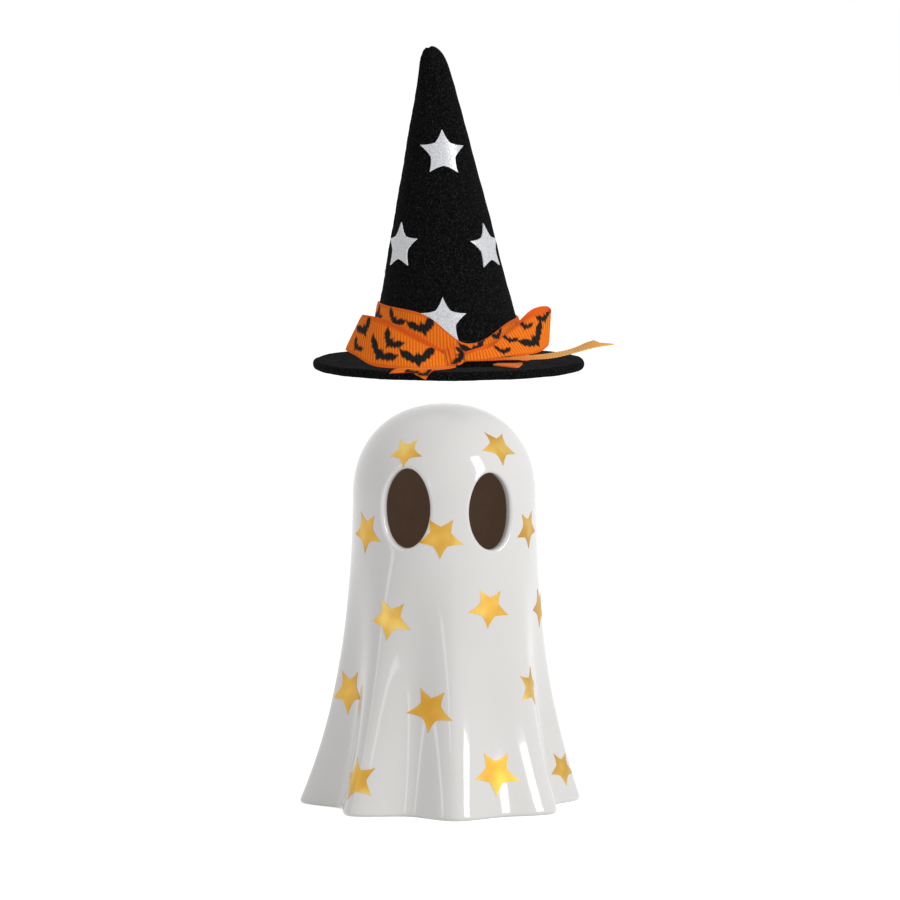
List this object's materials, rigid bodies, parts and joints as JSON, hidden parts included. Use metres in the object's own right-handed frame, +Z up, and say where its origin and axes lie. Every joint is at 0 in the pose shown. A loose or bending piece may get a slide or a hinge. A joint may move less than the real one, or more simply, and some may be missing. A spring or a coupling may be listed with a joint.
{
  "type": "light-up ghost figure",
  "caption": "Hollow glazed ceramic ghost figure with open eyes, a battery light unit in its base and a lift-off felt witch hat with a ribbon bow.",
  "frame": {"origin": "on the ghost's own axis, at the surface that it stands on; the light unit's underside is recessed 1.2 mm above it", "axes": "+Z up, the face looks along -Y, and +X is at the right of someone who looks at the face"},
  "size_m": [0.1153, 0.1036, 0.28],
  "materials": {
    "glaze": "polished",
    "housing": "satin",
    "frosted": "satin",
    "foam": "matte",
    "board": "satin",
    "chip": "satin",
    "epoxy": "gloss",
    "resistor": "satin",
    "steel": "satin",
    "knob": "satin",
    "wire_red": "satin",
    "wire_black": "satin",
    "felt": "matte",
    "ribbon": "matte",
    "gold": "satin",
    "silver_glitter": "satin"
  },
  "bodies": {
    "ghost": {"ghost_shell": "glaze", "light_base": "housing", "light_lid": "housing", "diffuser": "frosted", "foam_gasket": "foam", "circuit_board": "board", "led_lamp": "epoxy", "timer_chip": "chip", "resistor": "resistor", "board_screw_1": "steel", "board_screw_2": "steel", "switch_frame": "steel", "button_cell_1": "steel", "button_cell_2": "steel", "button_cell_3": "steel", "battery_spring": "steel", "battery_door": "housing", "contact_positive": "steel", "contact_negative": "steel", "wire_red": "wire_red", "wire_black": "wire_black", "lid_screw_1": "steel", "lid_screw_2": "steel", "door_screw_1": "steel", "door_screw_2": "steel"},
    "hat": {"hat_crown": "felt", "hat_brim": "felt", "hat_band": "ribbon", "bow_knot": "ribbon", "bow_loop_left": "ribbon", "bow_loop_right": "ribbon", "bow_tail_left": "ribbon", "bow_tail_right": "ribbon"},
    "switch": {"switch_knob": "knob"}
  },
  "joints": [
    {"name": "hat_lift", "type": "slide", "parent": "ghost", "child": "hat", "axis": [0, 0, 1], "range_m": [-0.0228, 0.04]},
    {"name": "switch_slide", "type": "slide", "parent": "ghost", "child": "switch", "axis": [1, 0, 0], "range_m": [0, 0.0024]}
  ]
}
